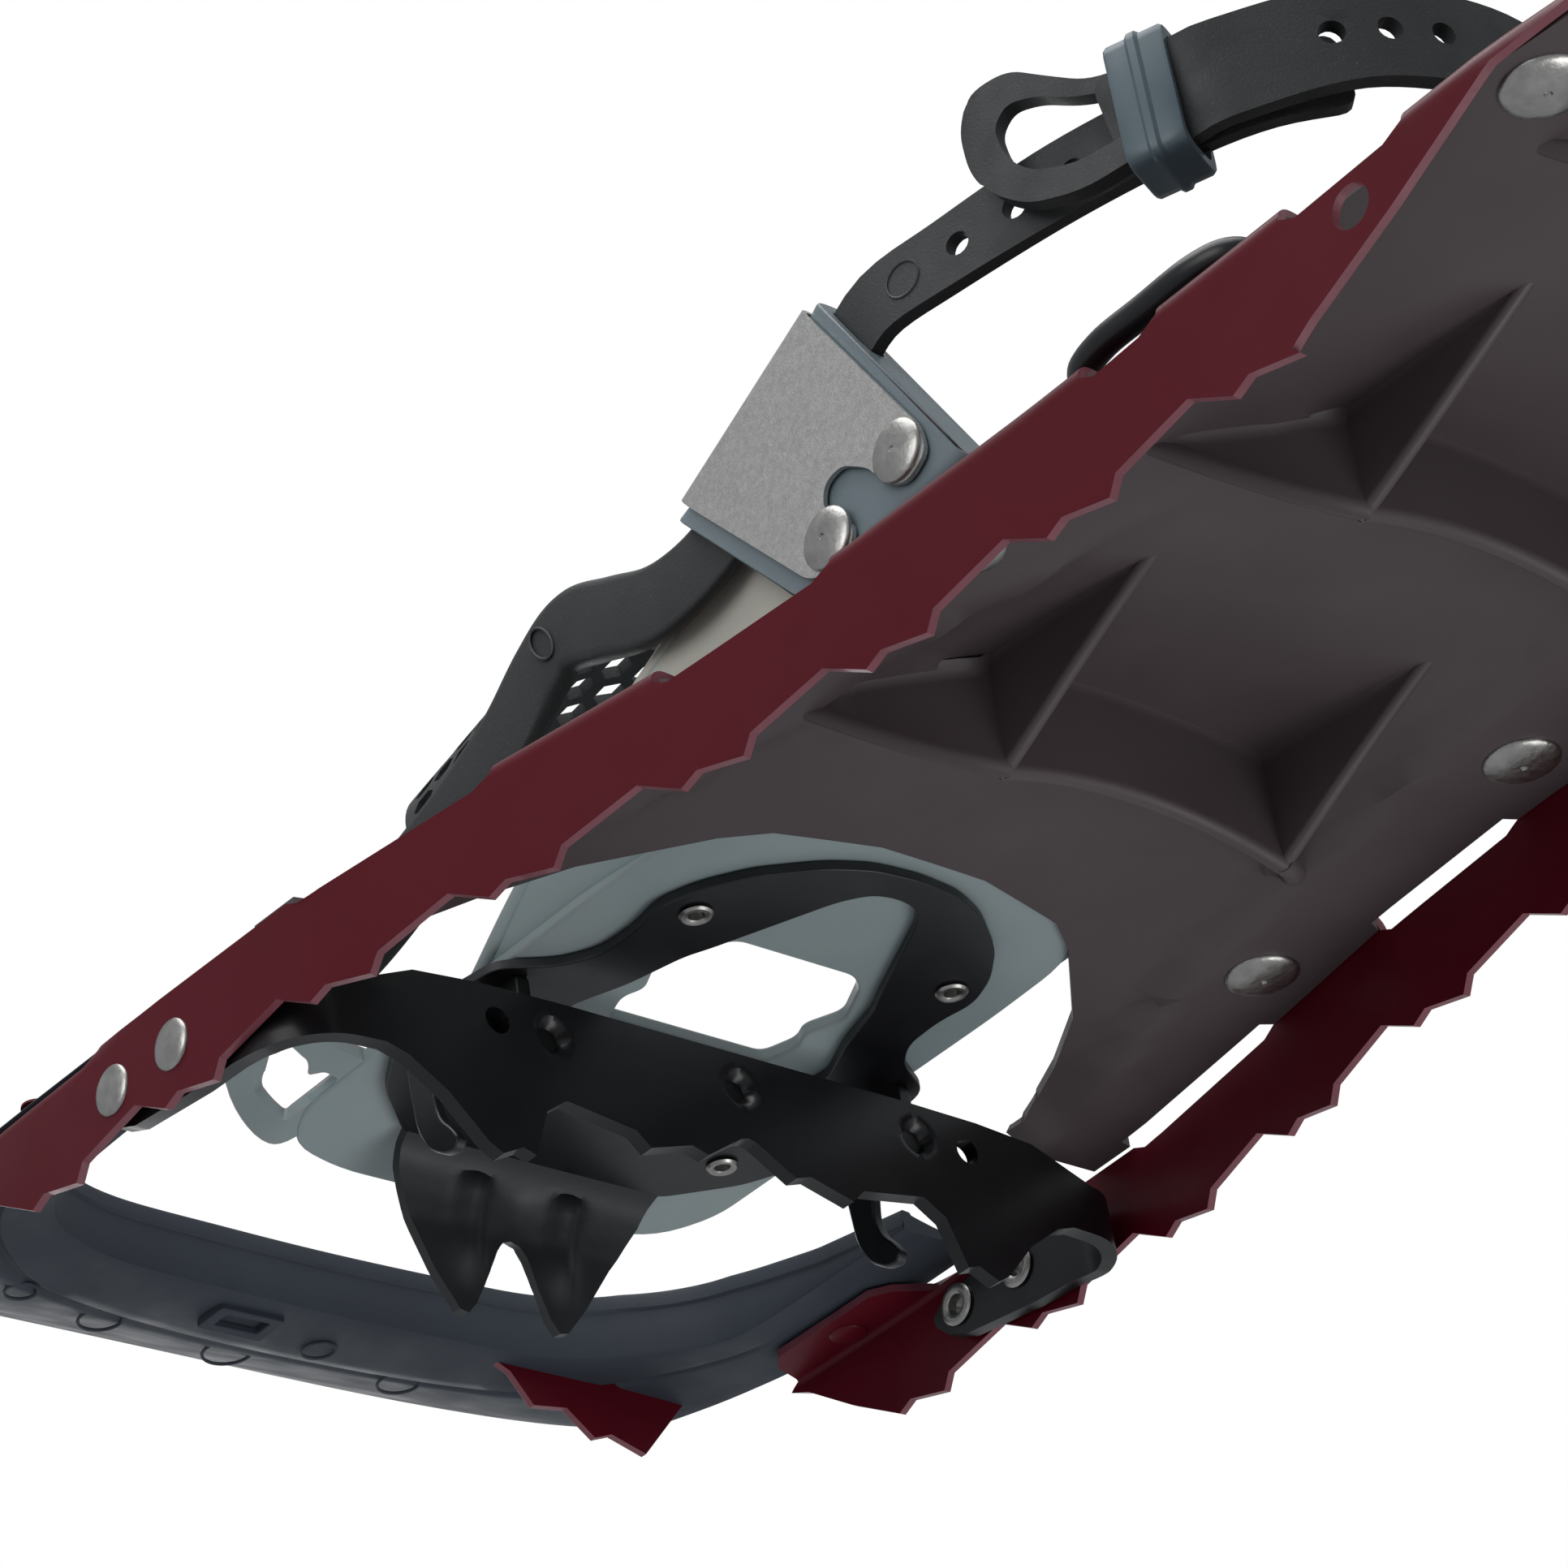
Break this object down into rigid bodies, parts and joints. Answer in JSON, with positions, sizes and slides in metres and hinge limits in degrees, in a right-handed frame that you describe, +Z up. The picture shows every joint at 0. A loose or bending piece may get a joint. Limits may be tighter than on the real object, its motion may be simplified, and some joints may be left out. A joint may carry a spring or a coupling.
{
  "type": "snowshoe",
  "caption": "Snowshoe with toothed steel rails, a moulded deck, and a strap binding on a pivot with claws under the toe.",
  "frame": {"origin": "on the ground under the middle of the shoe, at the level of the deepest crossbar teeth", "axes": "+Y from toe to tail, +Z up, +X to the wearer's left"},
  "size_m": [0.2058, 0.56, 0.1217],
  "materials": {
    "rail_paint": "satin maroon paint on steel",
    "black_steel": "black coated steel",
    "deck_plastic": "warm grey moulded plastic",
    "toe_plastic": "blue-grey moulded plastic",
    "clear_tpu": "milky translucent TPU",
    "guide_tpu": "smoky translucent TPU",
    "strap_rubber": "matte black rubbery TPU",
    "stainless": "brushed stainless steel",
    "rivet_metal": "dull zinc-plated steel"
  },
  "bodies": {
    "frame": {"left_rail": "rail_paint", "crossbar_rivet_left_1": "rivet_metal", "crossbar_rivet_left_2": "rivet_metal", "deck_rivet_left_1": "rivet_metal", "deck_rivet_left_2": "rivet_metal", "deck_rivet_left_3": "rivet_metal", "deck_rivet_left_4": "rivet_metal", "deck_rivet_left_5": "rivet_metal", "pivot_bracket_left": "black_steel", "pivot_pin_left": "stainless", "split_ring_left": "stainless", "bail_clip_left": "black_steel", "right_rail": "rail_paint", "crossbar_rivet_right_1": "rivet_metal", "crossbar_rivet_right_2": "rivet_metal", "deck_rivet_right_1": "rivet_metal", "deck_rivet_right_2": "rivet_metal", "deck_rivet_right_3": "rivet_metal", "deck_rivet_right_4": "rivet_metal", "deck_rivet_right_5": "rivet_metal", "pivot_bracket_right": "black_steel", "pivot_pin_right": "stainless", "split_ring_right": "stainless", "bail_clip_right": "black_steel", "bow_rivet_left": "rail_paint", "bow_rivet_right": "rail_paint", "toe_rail": "rail_paint", "crossbar": "black_steel", "toe_bow": "toe_plastic", "deck": "deck_plastic"},
    "binding": {"strap_guide_left": "guide_tpu", "guide_plate_left": "stainless", "guide_rivet_left_1": "rivet_metal", "guide_rivet_left_2": "rivet_metal", "perforated_strap_left": "strap_rubber", "strap_guide_right": "guide_tpu", "guide_plate_right": "stainless", "guide_rivet_right_1": "rivet_metal", "guide_rivet_right_2": "rivet_metal", "perforated_strap_right": "strap_rubber", "crampon_plate": "black_steel", "plate_rivet_1": "rivet_metal", "plate_rivet_2": "rivet_metal", "plate_rivet_3": "rivet_metal", "plate_rivet_4": "rivet_metal", "footbed": "clear_tpu", "toe_cover": "strap_rubber", "heel_strap": "strap_rubber"},
    "heel_lift": {"heel_lift_bail": "black_steel"},
    "keeper": {"strap_keeper": "guide_tpu"}
  },
  "joints": [
    {"name": "binding_tilt", "type": "hinge", "parent": "frame", "child": "binding", "pos_m": [0, -0.089, 0.0267], "axis": [1, 0, 0], "range_deg": [0, 45]},
    {"name": "heel_lift_fold", "type": "hinge", "parent": "frame", "child": "heel_lift", "pos_m": [0, 0.124, 0.0483], "axis": [-1, 0, 0], "range_deg": [0, 95]},
    {"name": "keeper_slide", "type": "slide", "parent": "binding", "child": "keeper", "axis": [-0.3523, 0.9359, 0], "range_m": [-0.002, 0.002]}
  ]
}
